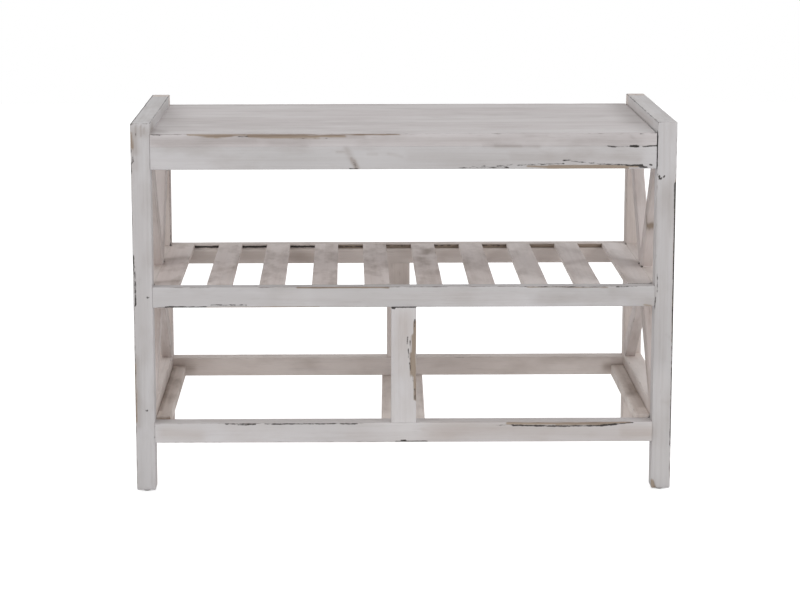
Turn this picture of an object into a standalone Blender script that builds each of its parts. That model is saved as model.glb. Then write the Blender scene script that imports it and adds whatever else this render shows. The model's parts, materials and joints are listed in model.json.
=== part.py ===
"""Shoe storage bench, modelled board by board the way a joiner would put it together.

Two side frames, each with an X brace, carry a seat on two aprons, a slatted shelf and a low
frame whose runners hold storage boxes.  Rails and posts have stub tenons in mortises, the
shelf slats lie in rabbets, and the X braces are half-lapped where they meet.
Units are metres, +Z is up, the front looks along -Y, and the origin is on the floor at the
middle of the bench.
"""
from math import pi

import bmesh
import bpy
from mathutils import Matrix, Vector

# Overall size
WIDTH = 0.700
DEPTH = 0.350
SEAT_HEIGHT = 0.4725
SIDE_RISE = 0.014

# Square stock of the legs, the side rails and the long rails
LEG = 0.025
RAIL_THICK = 0.025

# Seat board and the aprons under it
SEAT_THICK = 0.0165
APRON_HEIGHT = 0.0295
APRON_THICK = 0.018

# Slatted shelf
SHELF_TOP = 0.2735
SHELF_RAIL_HEIGHT = 0.027
SLAT_COUNT = 10
SLAT_WIDTH = 0.033
SLAT_THICK = 0.006
RABBET_WIDTH = 0.008

# Low frame: the rear and side rails sit higher than the front one and stop a box at the back
LOW_FRONT_TOP = 0.0925
LOW_RAIL_HEIGHT = 0.026
LOW_RAIL_RISE = 0.0157
LOW_SIDE_RAIL_HEIGHT = 0.0315
SIDE_RUNNER_WIDTH = 0.018
SIDE_RUNNER_THICK = 0.0145
CENTRE_RUNNER_WIDTH = 0.058
CENTRE_RUNNER_SKEW = 0.006

# Centre posts between the shelf and the low frame
POST_WIDTH = 0.0325
POST_THICK = 0.020

# X braces, flush with the inner faces of the legs.  On the photographed bench they meet a little
# behind the middle of the left side, and a little in front of the middle of the right side.
BRACE_WIDTH = 0.025
BRACE_THICK = 0.0145
BRACE_MEET = {"left": 0.006, "right": -0.020}

# Joints and fits
GAP = 0.0003
TENON_THICK = 0.009
TENON_SHOULDER = 0.007
TENON_WALL = 0.001
EASE = 0.0011
EASE_STEPS = 2

# Fasteners and foot glides
DOWEL_RADIUS = 0.004
DOWEL_IN_SEAT = 0.009
DOWEL_IN_APRON = 0.016
DOWEL_INSET = 0.130
SCREW_RADIUS = 0.002
SCREW_HEAD_RADIUS = 0.0038
SCREW_BITE = 0.014
SCREW_INSET = 0.060
GLIDE_RADIUS = 0.0055
GLIDE_HEIGHT = 0.0025
GLIDE_ROUND = 0.001
GLIDE_PIN_RADIUS = 0.0016
GLIDE_PIN_LENGTH = 0.010
ROUND_SIDES = 24

# Levels and planes worked out from the sizes above
TOP = SEAT_HEIGHT + SIDE_RISE
SEAT_UNDER = SEAT_HEIGHT - SEAT_THICK
APRON_UNDER = SEAT_UNDER - APRON_HEIGHT
SHELF_UNDER = SHELF_TOP - SHELF_RAIL_HEIGHT
LOW_FRONT_UNDER = LOW_FRONT_TOP - LOW_RAIL_HEIGHT
LOW_REAR_TOP = LOW_FRONT_TOP + LOW_RAIL_RISE
LOW_REAR_UNDER = LOW_FRONT_UNDER + LOW_RAIL_RISE
LOW_SIDE_TOP = LOW_REAR_UNDER + LOW_SIDE_RAIL_HEIGHT
FRONT = -DEPTH / 2
REAR = DEPTH / 2
OUTER = WIDTH / 2
INNER = OUTER - LEG
TENON_LENGTH = (LEG - TENON_THICK) / 2 - TENON_WALL

SIDES = {"left": -1, "right": 1}
ENDS = {"front": -1, "rear": 1}

# Each finish: colour (linear), roughness, metallic
FINISHES = {
    "whitewashed_frame": ((0.52, 0.49, 0.485), 0.62, 0.0),
    "whitewashed_seat": ((0.54, 0.51, 0.50), 0.58, 0.0),
    "whitewashed_slats": ((0.40, 0.36, 0.345), 0.66, 0.0),
    "whitewashed_braces": ((0.40, 0.35, 0.33), 0.68, 0.0),
    "whitewashed_runners": ((0.39, 0.35, 0.335), 0.68, 0.0),
    "beech_dowel": ((0.50, 0.33, 0.19), 0.70, 0.0),
    "zinc_screw": ((0.60, 0.60, 0.58), 0.35, 1.0),
    "dark_glide": ((0.02, 0.02, 0.021), 0.50, 0.0),
}


class Timber:
    """A straight board: its box, the axis it runs along, its tenons and its finish."""

    def __init__(self, name, low, high, run, finish, thin=None, tenons=(), square_ends=True):
        self.name = name
        self.low = Vector(low)
        self.high = Vector(high)
        self.run = "XYZ".index(run)
        self.finish = finish
        self.square_ends = square_ends
        self.tenons = [self.tenon(side, thin) for side in tenons]

    def tenon(self, side, thin):
        """Box of the stub tenon on one end: thin across the thin axis, shouldered on the other."""
        thin = "XYZ".index(thin)
        wide = 3 - self.run - thin
        middle = (self.low + self.high) / 2
        low, high = self.low.copy(), self.high.copy()
        low[thin] = middle[thin] - TENON_THICK / 2
        high[thin] = middle[thin] + TENON_THICK / 2
        low[wide] += TENON_SHOULDER
        high[wide] -= TENON_SHOULDER
        if side < 0:
            low[self.run], high[self.run] = self.low[self.run] - TENON_LENGTH, self.low[self.run]
        else:
            low[self.run], high[self.run] = self.high[self.run], self.high[self.run] + TENON_LENGTH
        return low, high, side


def between(side, near, far):
    """Lower and higher of two distances from the middle, on the given side of it."""
    return sorted((side * near, side * far))


def clear_scene():
    for old in list(bpy.data.objects):
        bpy.data.objects.remove(old, do_unlink=True)


def make_finish(name):
    colour, roughness, metallic = FINISHES[name]
    material = bpy.data.materials.new(name)
    material.use_nodes = True
    shader = material.node_tree.nodes["Principled BSDF"]
    shader.inputs["Base Color"].default_value = (*colour, 1.0)
    shader.inputs["Roughness"].default_value = roughness
    shader.inputs["Metallic"].default_value = metallic
    return material


def new_object(name, bm):
    """Turns a bmesh into an object of the scene and frees the bmesh."""
    bmesh.ops.recalc_face_normals(bm, faces=bm.faces)
    mesh = bpy.data.meshes.new(name)
    bm.to_mesh(mesh)
    bm.free()
    piece = bpy.data.objects.new(name, mesh)
    bpy.context.scene.collection.objects.link(piece)
    return piece


def add_box(bm, low, high):
    size = Vector(high) - Vector(low)
    middle = (Vector(high) + Vector(low)) / 2
    place = Matrix.Translation(middle) @ Matrix.Diagonal((*size, 1.0))
    bmesh.ops.create_cube(bm, size=1.0, matrix=place)


def ease_edges(bm, edges):
    bmesh.ops.bevel(bm, geom=edges, offset=EASE, segments=EASE_STEPS, profile=0.5, affect="EDGES")


def runs_along(edge, axis):
    return abs((edge.verts[1].co - edge.verts[0].co).normalized()[axis]) > 0.999


def shape(piece, tool, operation):
    """Applies a Boolean with a loose tool body to the piece, then throws the tool away."""
    boolean = piece.modifiers.new(operation.lower(), "BOOLEAN")
    boolean.object = tool
    boolean.operation = operation
    boolean.solver = "EXACT"
    graph = bpy.context.evaluated_depsgraph_get()
    plain = piece.data
    shaped = bpy.data.meshes.new_from_object(piece.evaluated_get(graph))
    piece.modifiers.clear()
    piece.data = shaped
    bpy.data.meshes.remove(plain)
    bpy.data.objects.remove(tool)


def paint(piece, finish, smooth=False):
    piece.data.materials.clear()
    piece.data.materials.append(bpy.data.materials.get(finish) or make_finish(finish))
    if smooth:
        piece.data.shade_smooth()
        piece.data.set_sharp_from_angle(angle=pi / 6)


def overlaps(low_a, high_a, low_b, high_b):
    return all(low_a[k] < high_b[k] and low_b[k] < high_a[k] for k in range(3))


def mortise_box(timber, tenon):
    """A tenon's box with the fit's clearance, running out past the face that it enters."""
    low, high, side = tenon
    low = low - Vector((GAP, GAP, GAP))
    high = high + Vector((GAP, GAP, GAP))
    if side < 0:
        high[timber.run] += TENON_WALL
    else:
        low[timber.run] -= TENON_WALL
    return low, high


def build_timber(timber, timbers):
    """Eases the board's edges, adds its tenons and cuts the mortises for its neighbours' tenons."""
    bm = bmesh.new()
    add_box(bm, timber.low, timber.high)
    eased = [e for e in bm.edges if runs_along(e, timber.run) or not timber.square_ends]
    ease_edges(bm, eased)
    piece = new_object(timber.name, bm)

    if timber.tenons:
        bm = bmesh.new()
        for low, high, side in timber.tenons:
            low, high = low.copy(), high.copy()
            if side < 0:
                high[timber.run] += TENON_LENGTH
            else:
                low[timber.run] -= TENON_LENGTH
            add_box(bm, low, high)
        shape(piece, new_object("tenons", bm), "UNION")

    bm = bmesh.new()
    for other in timbers:
        for tenon in other.tenons:
            if other is not timber and overlaps(tenon[0], tenon[1], timber.low, timber.high):
                add_box(bm, *mortise_box(other, tenon))
    if bm.faces:
        shape(piece, new_object("mortises", bm), "DIFFERENCE")
    else:
        bm.free()

    paint(piece, timber.finish)
    return piece


def leg_timbers():
    legs = []
    for end, depth_sign in ENDS.items():
        for side, width_sign in SIDES.items():
            x0, x1 = between(width_sign, INNER, OUTER)
            y0, y1 = between(depth_sign, REAR - LEG, REAR)
            legs.append(Timber(f"leg_{end}_{side}", (x0, y0, GLIDE_HEIGHT), (x1, y1, TOP), "Z",
                               "whitewashed_frame", square_ends=False))
    return legs


def side_rail_timbers():
    """Top, middle and low rail of each side frame, tenoned into the legs."""
    levels = {"top": (SEAT_UNDER, TOP), "mid": (SHELF_UNDER, SHELF_TOP),
              "low": (LOW_REAR_UNDER, LOW_SIDE_TOP)}
    rails = []
    for side, width_sign in SIDES.items():
        x0, x1 = between(width_sign, INNER, OUTER)
        for level, (z0, z1) in levels.items():
            rails.append(Timber(f"{level}_side_rail_{side}", (x0, FRONT + LEG + GAP, z0),
                                (x1, REAR - LEG - GAP, z1), "Y", "whitewashed_frame",
                                thin="X", tenons=(-1, 1)))
    return rails


def long_rail(name, depth_sign, thick, z0, z1):
    """A rail from side frame to side frame, flush with the legs at the front or the rear."""
    y0, y1 = between(depth_sign, REAR - thick, REAR)
    end = INNER - GAP
    return Timber(name, (-end, y0, z0), (end, y1, z1), "X", "whitewashed_frame", thin="Y", tenons=(-1, 1))


def long_rail_timbers():
    return [
        long_rail("apron_front", -1, APRON_THICK, APRON_UNDER, SEAT_UNDER - GAP),
        long_rail("apron_rear", 1, APRON_THICK, APRON_UNDER, SEAT_UNDER - GAP),
        long_rail("shelf_rail_front", -1, RAIL_THICK, SHELF_UNDER, SHELF_TOP),
        long_rail("shelf_rail_rear", 1, RAIL_THICK, SHELF_UNDER, SHELF_TOP),
        long_rail("low_rail_front", -1, RAIL_THICK, LOW_FRONT_UNDER, LOW_FRONT_TOP),
        long_rail("low_rail_rear", 1, RAIL_THICK, LOW_REAR_UNDER, LOW_REAR_TOP),
    ]


def post_timbers():
    """Front and rear centre posts, standing on the low rails and carrying the shelf rails."""
    posts = []
    for end, depth_sign in ENDS.items():
        y0, y1 = between(depth_sign, REAR - POST_THICK, REAR)
        foot = LOW_FRONT_TOP if end == "front" else LOW_REAR_TOP
        posts.append(Timber(f"centre_post_{end}", (-POST_WIDTH / 2, y0, foot + GAP),
                            (POST_WIDTH / 2, y1, SHELF_UNDER - GAP), "Z", "whitewashed_frame",
                            thin="Y", tenons=(-1, 1)))
    return posts


def seat_timber():
    end = INNER - GAP
    return Timber("seat_board", (-end, FRONT, SEAT_UNDER), (end, REAR, SEAT_HEIGHT), "X",
                  "whitewashed_seat", square_ends=False)


def slat_timbers():
    """Evenly spaced slats whose ends lie in the rabbets of the shelf rails."""
    reach = REAR - RAIL_THICK + RABBET_WIDTH - GAP
    first = -INNER + GAP
    pitch = (2 * INNER - 2 * GAP - SLAT_WIDTH) / (SLAT_COUNT - 1)
    slats = []
    for number in range(SLAT_COUNT):
        x0 = first + number * pitch
        slats.append(Timber(f"shelf_slat_{number + 1:02d}", (x0, -reach, SHELF_TOP - SLAT_THICK),
                            (x0 + SLAT_WIDTH, reach, SHELF_TOP), "Y", "whitewashed_slats"))
    return slats


def side_runner_timbers():
    """Ledges on the inner faces of the low side rails, level with their undersides."""
    reach = REAR - RAIL_THICK - GAP
    runners = []
    for side, width_sign in SIDES.items():
        x0, x1 = between(width_sign, INNER - GAP - SIDE_RUNNER_WIDTH, INNER - GAP)
        runners.append(Timber(f"side_runner_{side}", (x0, -reach, LOW_REAR_UNDER),
                              (x1, reach, LOW_REAR_UNDER + SIDE_RUNNER_THICK), "Y",
                              "whitewashed_runners"))
    return runners


def centre_runner_timber():
    """Board from the low front rail to under the low rear rail, tenoned into the front one."""
    half = CENTRE_RUNNER_WIDTH / 2
    return Timber("centre_runner", (-half, FRONT + RAIL_THICK + GAP, LOW_FRONT_UNDER),
                  (half, REAR, LOW_REAR_UNDER - GAP), "Y", "whitewashed_runners", thin="Z", tenons=(-1,))


def cut_rabbet(rail, depth_sign):
    """Steps the inner top edge of a shelf rail down to take the ends of the slats."""
    y0, y1 = between(depth_sign, REAR - RAIL_THICK - TENON_WALL, REAR - RAIL_THICK + RABBET_WIDTH)
    bm = bmesh.new()
    add_box(bm, (-INNER, y0, SHELF_TOP - SLAT_THICK - GAP), (INNER, y1, SHELF_TOP + TENON_WALL))
    shape(rail, new_object("rabbet", bm), "DIFFERENCE")


def skew_board(board):
    """Swings a board sideways about its front end, so that its rear end is off by the skew."""
    front = FRONT + RAIL_THICK
    for vertex in board.data.vertices:
        vertex.co.x += CENTRE_RUNNER_SKEW * max(0.0, vertex.co.y - front) / (REAR - front)


# X braces: above and below the middle rail two braces run from the corners of the side frame's
# opening to one point on that rail
BRACE_REACH = REAR - LEG
BRACE_SPANS = {"upper": (SEAT_UNDER, SHELF_TOP), "lower": (LOW_SIDE_TOP, SHELF_UNDER)}


def brace_strip(corner, meet, x0, x1, width):
    """A long straight strip on the line from the point where two braces meet to a corner."""
    run = corner - meet
    across = run.cross(Vector((1.0, 0.0, 0.0))).normalized()
    middle = (corner + meet) / 2 + Vector(((x0 + x1) / 2, 0.0, 0.0))
    turn = Matrix((Vector((1.0, 0.0, 0.0)), run.normalized(), across)).transposed().to_4x4()
    bm = bmesh.new()
    place = Matrix.Translation(middle) @ turn @ Matrix.Diagonal((x1 - x0, 2 * run.length, width, 1.0))
    bmesh.ops.create_cube(bm, size=1.0, matrix=place)
    return bm, run.normalized()


def trim(bm, point, normal):
    """Cuts away all that lies past a plane and closes the cut."""
    geometry = bm.verts[:] + bm.edges[:] + bm.faces[:]
    cut = bmesh.ops.bisect_plane(bm, geom=geometry, plane_co=point, plane_no=normal, clear_outer=True)
    rim = [item for item in cut["geom_cut"] if isinstance(item, bmesh.types.BMEdge)]
    bmesh.ops.edgeloop_fill(bm, edges=rim)


def build_brace(name, side, end, corner_level, meet_level):
    """One brace from a corner to the middle rail, its ends cut to the legs and rails they meet."""
    corner = Vector((0.0, ENDS[end] * BRACE_REACH, corner_level))
    meet = Vector((0.0, BRACE_MEET[side], meet_level))
    x0, x1 = between(SIDES[side], INNER, INNER + BRACE_THICK)
    bm, run = brace_strip(corner, meet, x0, x1, BRACE_WIDTH)
    corners = [e for e in bm.edges if abs((e.verts[1].co - e.verts[0].co).normalized().dot(run)) > 0.999]
    ease_edges(bm, corners)
    reach = BRACE_REACH - GAP
    trim(bm, (0.0, reach, 0.0), (0.0, 1.0, 0.0))
    trim(bm, (0.0, -reach, 0.0), (0.0, -1.0, 0.0))
    trim(bm, (0.0, 0.0, max(corner_level, meet_level) - GAP), (0.0, 0.0, 1.0))
    trim(bm, (0.0, 0.0, min(corner_level, meet_level) + GAP), (0.0, 0.0, -1.0))
    brace = new_object(name, bm)
    half_lap(brace, side, end, corner, meet)
    paint(brace, "whitewashed_braces")


def half_lap(brace, side, end, corner, meet):
    """Lets the other brace of the pair in: front braces keep their inner half, rear ones the outer."""
    split = INNER + BRACE_THICK / 2
    if end == "front":
        near, far = split - GAP / 2, INNER + BRACE_THICK + EASE
    else:
        near, far = INNER - EASE, split + GAP / 2
    x0, x1 = between(SIDES[side], near, far)
    other = Vector((corner.x, -corner.y, corner.z))
    bm, _ = brace_strip(other, meet, x0, x1, BRACE_WIDTH + 2 * GAP)
    shape(brace, new_object("lap", bm), "DIFFERENCE")


def build_braces():
    for level, (corner_level, meet_level) in BRACE_SPANS.items():
        for side in SIDES:
            for end in ENDS:
                build_brace(f"brace_{level}_{end}_{side}", side, end, corner_level, meet_level)


def turned(name, profile, place, finish=None):
    """A turned solid: radius and height pairs spun about +Z and set in place by a matrix."""
    bm = bmesh.new()
    points = [bm.verts.new((radius, 0.0, height)) for radius, height in profile]
    rims = [bm.edges.new(pair) for pair in zip(points, points[1:])]
    bmesh.ops.spin(bm, geom=points + rims, axis=(0.0, 0.0, 1.0), cent=(0.0, 0.0, 0.0),
                   angle=2 * pi, steps=ROUND_SIDES)
    bmesh.ops.remove_doubles(bm, verts=bm.verts, dist=1e-6)
    bmesh.ops.transform(bm, matrix=place, verts=bm.verts)
    piece = new_object(name, bm)
    if finish:
        paint(piece, finish, smooth=True)
    return piece


def bore(piece, profile, place):
    shape(piece, turned("bore", profile, place), "DIFFERENCE")


def rod_profile(radius, low, high, edge=0.0):
    """A plain rod between two heights, with its end edges taken off where edge is given."""
    if edge:
        return [(0.0, low), (radius - edge, low), (radius, low + edge),
                (radius, high - edge), (radius - edge, high), (0.0, high)]
    return [(0.0, low), (radius, low), (radius, high), (0.0, high)]


def fit_glides(pieces):
    """A nailed glide under each leg: a flat disc with a rounded rim and a pin in the end grain."""
    rim = GLIDE_RADIUS - GLIDE_ROUND
    seat = GLIDE_HEIGHT - GAP
    pin_top = GLIDE_HEIGHT + GLIDE_PIN_LENGTH
    profile = [(0.0, 0.0), (rim, 0.0), (GLIDE_RADIUS, GLIDE_ROUND), (GLIDE_RADIUS, seat),
               (GLIDE_PIN_RADIUS, seat), (GLIDE_PIN_RADIUS, pin_top - GLIDE_PIN_RADIUS), (0.0, pin_top)]
    hole = rod_profile(GLIDE_PIN_RADIUS + GAP, GLIDE_HEIGHT - TENON_WALL, pin_top + GAP)
    for end, depth_sign in ENDS.items():
        for side, width_sign in SIDES.items():
            place = Matrix.Translation((width_sign * (OUTER - LEG / 2), depth_sign * (REAR - LEG / 2), 0.0))
            turned(f"glide_{end}_{side}", profile, place, "dark_glide")
            bore(pieces[f"leg_{end}_{side}"], hole, place)


def fit_seat_dowels(pieces):
    """Dowels that locate the seat board on the aprons."""
    low, high = -DOWEL_IN_APRON, DOWEL_IN_SEAT
    profile = rod_profile(DOWEL_RADIUS, low, high, EASE)
    hole = rod_profile(DOWEL_RADIUS + GAP, low - GAP, high + GAP)
    for end, depth_sign in ENDS.items():
        for side, width_sign in SIDES.items():
            place = Matrix.Translation((width_sign * (INNER - DOWEL_INSET),
                                        depth_sign * (REAR - APRON_THICK / 2), SEAT_UNDER))
            turned(f"seat_dowel_{end}_{side}", profile, place, "beech_dowel")
            bore(pieces["seat_board"], hole, place)
            bore(pieces[f"apron_{end}"], hole, place)


def fit_screw(name, place, grip, first, second):
    """A countersunk screw through the first board, grip thick, into the second one."""
    cone = SCREW_HEAD_RADIUS - SCREW_RADIUS
    tip = grip + SCREW_BITE
    sink = GAP
    profile = [(0.0, sink), (SCREW_HEAD_RADIUS, sink), (SCREW_RADIUS, sink + cone),
               (SCREW_RADIUS, tip - 2 * SCREW_RADIUS), (0.0, tip)]
    seat = SCREW_HEAD_RADIUS + GAP
    shank = SCREW_RADIUS + GAP
    hole = [(0.0, -TENON_WALL), (seat, -TENON_WALL), (seat, sink), (shank, sink + cone),
            (shank, tip + GAP), (0.0, tip + GAP)]
    turned(name, profile, place, "zinc_screw")
    bore(first, hole, place)
    bore(second, hole, place)


def fit_runner_screws(pieces):
    """Screws that hold the side runners to the side rails and the centre runner to the rear rail."""
    level = LOW_REAR_UNDER + SIDE_RUNNER_THICK / 2
    for side, width_sign in SIDES.items():
        face = width_sign * (INNER - GAP - SIDE_RUNNER_WIDTH)
        outward = Matrix.Rotation(width_sign * pi / 2, 4, "Y")
        for end, depth_sign in ENDS.items():
            place = Matrix.Translation((face, depth_sign * (REAR - LEG - SCREW_INSET), level)) @ outward
            fit_screw(f"runner_screw_{end}_{side}", place, SIDE_RUNNER_WIDTH,
                      pieces[f"side_runner_{side}"], pieces[f"low_side_rail_{side}"])
    for side, width_sign in SIDES.items():
        place = Matrix.Translation((CENTRE_RUNNER_SKEW + width_sign * CENTRE_RUNNER_WIDTH / 4,
                                    REAR - RAIL_THICK / 2, LOW_FRONT_UNDER))
        fit_screw(f"centre_screw_{side}", place, LOW_RAIL_RISE,
                  pieces["centre_runner"], pieces["low_rail_rear"])


def build_bench():
    timbers = [*leg_timbers(), *side_rail_timbers(), *long_rail_timbers(), *post_timbers(), seat_timber(),
               *slat_timbers(), *side_runner_timbers(), centre_runner_timber()]
    pieces = {timber.name: build_timber(timber, timbers) for timber in timbers}
    for end, depth_sign in ENDS.items():
        cut_rabbet(pieces[f"shelf_rail_{end}"], depth_sign)
    skew_board(pieces["centre_runner"])
    build_braces()
    fit_glides(pieces)
    fit_seat_dowels(pieces)
    fit_runner_screws(pieces)


clear_scene()
build_bench()
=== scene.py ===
# %% [markdown]
# # A whitewashed shoe bench
#
# The bench is a small hallway piece: a board seat between two side frames, a slatted shelf, and
# a low frame that holds boxes.  The joinery comes packed from the part's source.  This script
# gives each board its finish: white paint brushed thinly over dark stain, then rubbed through
# to the wood along the edges.
#
# First the imported model is loaded.  Its solids are the fixed frame that everything else fits.

# %% Load the frame
import json
import math

import bmesh
import bpy
import numpy as np
from mathutils import Matrix, Vector, noise


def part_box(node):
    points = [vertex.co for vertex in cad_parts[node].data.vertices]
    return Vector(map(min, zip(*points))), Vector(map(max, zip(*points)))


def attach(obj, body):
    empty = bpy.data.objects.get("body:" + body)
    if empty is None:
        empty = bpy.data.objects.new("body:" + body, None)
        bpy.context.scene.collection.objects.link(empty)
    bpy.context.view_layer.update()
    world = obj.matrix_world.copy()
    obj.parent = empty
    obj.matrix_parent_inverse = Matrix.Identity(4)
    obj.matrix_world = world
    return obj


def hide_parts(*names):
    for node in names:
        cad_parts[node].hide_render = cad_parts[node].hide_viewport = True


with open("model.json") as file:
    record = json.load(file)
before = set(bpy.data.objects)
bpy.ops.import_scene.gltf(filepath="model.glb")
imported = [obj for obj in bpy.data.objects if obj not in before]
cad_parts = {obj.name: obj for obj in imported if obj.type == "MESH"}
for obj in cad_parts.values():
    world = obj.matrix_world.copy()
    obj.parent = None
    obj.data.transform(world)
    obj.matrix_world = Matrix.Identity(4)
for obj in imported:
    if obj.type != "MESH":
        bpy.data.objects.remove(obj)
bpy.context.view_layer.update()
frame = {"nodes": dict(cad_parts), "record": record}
MM = 0.001

# %% [markdown]
# ## The camera
#
# The photograph was taken from about three metres, a little left of the middle and a little
# above the seat.  A camera can be placed by eye, but solving for it from the corners of the
# bench is surer: the focal length and the aim below come from such a fit.  The picture's middle
# is not quite where the lens pointed, which is what the small shift says.

# %% Camera
PICTURE = (800, 600)
FOCAL_PX = 2344.0
AIM_PX = (367.5, 266.6)
EYE = Vector((-0.07195, -3.15353, 0.83617))
YAW, PITCH, ROLL = 0.00837, 0.17809, -0.0017
SENSOR_MM = 36.0

forward = Vector((math.sin(YAW) * math.cos(PITCH), math.cos(YAW) * math.cos(PITCH), -math.sin(PITCH)))
level = Vector((math.cos(YAW), -math.sin(YAW), 0.0))
upright = level.cross(forward)
right = math.cos(ROLL) * level + math.sin(ROLL) * upright
up = -math.sin(ROLL) * level + math.cos(ROLL) * upright

bpy.ops.object.select_all(action="DESELECT")
bpy.ops.object.camera_add(location=EYE)
camera = bpy.context.object
camera.name = "photo_camera"
camera.matrix_world = Matrix.Translation(EYE) @ Matrix((right, up, -forward)).transposed().to_4x4()
camera.data.sensor_width = SENSOR_MM
camera.data.lens = FOCAL_PX * SENSOR_MM / PICTURE[0]
camera.data.shift_x = (PICTURE[0] / 2 - AIM_PX[0]) / PICTURE[0]
camera.data.shift_y = (AIM_PX[1] - PICTURE[1] / 2) / PICTURE[0]
bpy.context.scene.camera = camera
print("lens", round(camera.data.lens, 1), "mm, shift",
      round(camera.data.shift_x, 3), round(camera.data.shift_y, 3))

# %% [markdown]
# ## Two small helpers for materials
#
# Colours are written as sRGB hex values, the way a picture shows them, and turned to the linear
# values that the renderer works in.  Nodes are added by one function that sets a node's options,
# fills or links its inputs and gives back an output, so a material reads as a list of steps.

# %% Colour and node helpers
def linear(hex_colour):
    """Linear RGBA from an sRGB hex value such as #C8C4C2."""
    channels = [int(hex_colour[i:i + 2], 16) / 255 for i in (1, 3, 5)]
    return (*[c / 12.92 if c <= 0.04045 else ((c + 0.055) / 1.055) ** 2.4 for c in channels], 1.0)


def add(tree, kind, inputs=None, out=0, **options):
    """Adds a node, sets its options, sets or links its inputs, and returns one output."""
    made = tree.nodes.new("ShaderNode" + kind)
    for name, value in options.items():
        setattr(made, name, value)
    for socket, value in (inputs or {}).items():
        if isinstance(value, bpy.types.NodeSocket):
            tree.links.new(value, made.inputs[socket])
        else:
            made.inputs[socket].default_value = value
    return made.outputs[out] if made.outputs else None


def new_material(name):
    """A new material, its node tree and its Principled shader."""
    material = bpy.data.materials.new(name)
    material.use_nodes = True
    return material, material.node_tree, material.node_tree.nodes["Principled BSDF"]


WHITE = (1.0, 1.0, 1.0, 1.0)
print("middle grey #808080 is", round(linear("#808080")[0], 3), "in linear light")

# %% [markdown]
# ## Floor, backdrop and light
#
# The bench was photographed on white in soft light from all round, with a large lamp near the
# camera and one at each side: the raised ends of the seat throw faint shadows inwards on both
# sides.  A pale world and three softboxes give that.  The camera sees the world as plain white,
# while the light it throws on the bench is weaker.  The floor is white too, and for the camera
# alone it glows a little, so that it runs into the backdrop without an edge.

# %% World
world = bpy.data.worlds.new("white_studio")
bpy.context.scene.world = world
world.use_nodes = True
tree = world.node_tree
tree.nodes.clear()
is_camera, is_glossy, is_transmission = (
    add(tree, "LightPath", out=name) for name in ("Is Camera Ray", "Is Glossy Ray", "Is Transmission Ray"))
seen = add(tree, "Math", {0: is_camera, 1: is_glossy}, operation="MAXIMUM")
seen = add(tree, "Math", {0: seen, 1: is_transmission}, operation="MAXIMUM")
ambient = add(tree, "Background", {"Color": WHITE, "Strength": 0.64})
backdrop = add(tree, "Background", {"Color": WHITE, "Strength": 1.0})
either = add(tree, "MixShader", {0: seen, 1: ambient, 2: backdrop})
add(tree, "OutputWorld", {"Surface": either})
bpy.context.scene.view_settings.view_transform = "Standard"
print("world:", world.name)

# %% Floor
bpy.ops.object.select_all(action="DESELECT")
bpy.ops.mesh.primitive_plane_add(size=9.0, location=(0.0, 0.0, 0.0))
floor = bpy.context.object
floor.name = "floor"
material, tree, shader = new_material("white_floor")
tree.nodes.remove(shader)
matt = add(tree, "BsdfDiffuse", {"Color": linear("#F7F7F7")})
glow = add(tree, "Emission", {"Color": WHITE, "Strength": 0.62})
lit = add(tree, "AddShader", {0: matt, 1: glow})
either = add(tree, "MixShader", {0: add(tree, "LightPath", out="Is Camera Ray"), 1: matt, 2: lit})
tree.links.new(either, tree.nodes["Material Output"].inputs["Surface"])
floor.data.materials.append(material)
print("floor:", tuple(round(v, 2) for v in floor.dimensions))

# %% Lamps
BENCH_MIDDLE = Vector((0.0, 0.0, 0.25))
LAMPS = {
    "front_softbox": ((-0.4, -3.5, 0.8), 1.4, 5.0),
    "left_softbox": ((-2.7, -1.7, 1.7), 1.0, 20.0),
    "right_softbox": ((2.7, -1.7, 1.7), 1.0, 24.0),
}
for name, (place, size, watts) in LAMPS.items():
    bpy.ops.object.light_add(type="AREA", location=place)
    lamp = bpy.context.object
    lamp.name = name
    lamp.data.size = size
    lamp.data.energy = watts
    lamp.rotation_euler = (BENCH_MIDDLE - Vector(place)).to_track_quat("-Z", "Y").to_euler()
print("lamps:", ", ".join(LAMPS))

# %% [markdown]
# ## Whitewash on stained softwood
#
# The real finish is a thin white paint, brushed along each board over a dark brown stain and
# rubbed back.  To the eye that gives soft clouds where the paint is thinner, faint streaks and
# pores that run with the grain, a dark line where edges are rubbed to the stain, and tan patches
# where they are rubbed to bare wood.
#
# A pattern could be laid on each board by unwrapping it.  Here each board carries its own grain
# position as an attribute instead, measured in metres along the board, across it and through
# it.  One recipe then fits every board, whichever way the board lies.  More attributes say how
# far a point is from the nearest edge, and where wear and painted shade were put.

# %% Whitewash recipe
KINDS = ("bare", "dark", "smear_and_shade", "coat", "rub", "fill")
# Size along and across the grain in millimetres, then detail and roughness of the noise.
# Real pores are about 0.2 mm wide; they are drawn six times coarser to show in the picture.
PATTERNS = {
    "drift": (240, 60, 2, 0.5),
    "cloud": (70, 27, 3, 0.55),
    "streak": (190, 4.5, 3, 0.55),
    "brush": (80, 1.8, 2, 0.5),
    "pore": (22, 1.2, 2, 0.6),
    "rubbing": (26, 7, 3, 0.6),
    "peel": (30, 2.6, 3, 0.55),
    "fleck": (7, 2.4, 4, 0.7),
}
# Marks along the grain: where in the noise they start, where they are full, and their colour
MARKS = {
    "streak": (0.50, 0.80, "#93867E"),
    "brush": (0.48, 0.78, "#D6D3D3"),
    "pore": (0.60, 0.80, "#7C6F67"),
}
THICK_PAINT_AND_PAINTED_LIGHT = "#E9E4E2"
PALE_WOOD, DARK_WOOD = "#A29384", "#827265"
EDGE_STAIN, DEEP_STAIN_AND_SHADE = "#635851", "#35302D"


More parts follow.
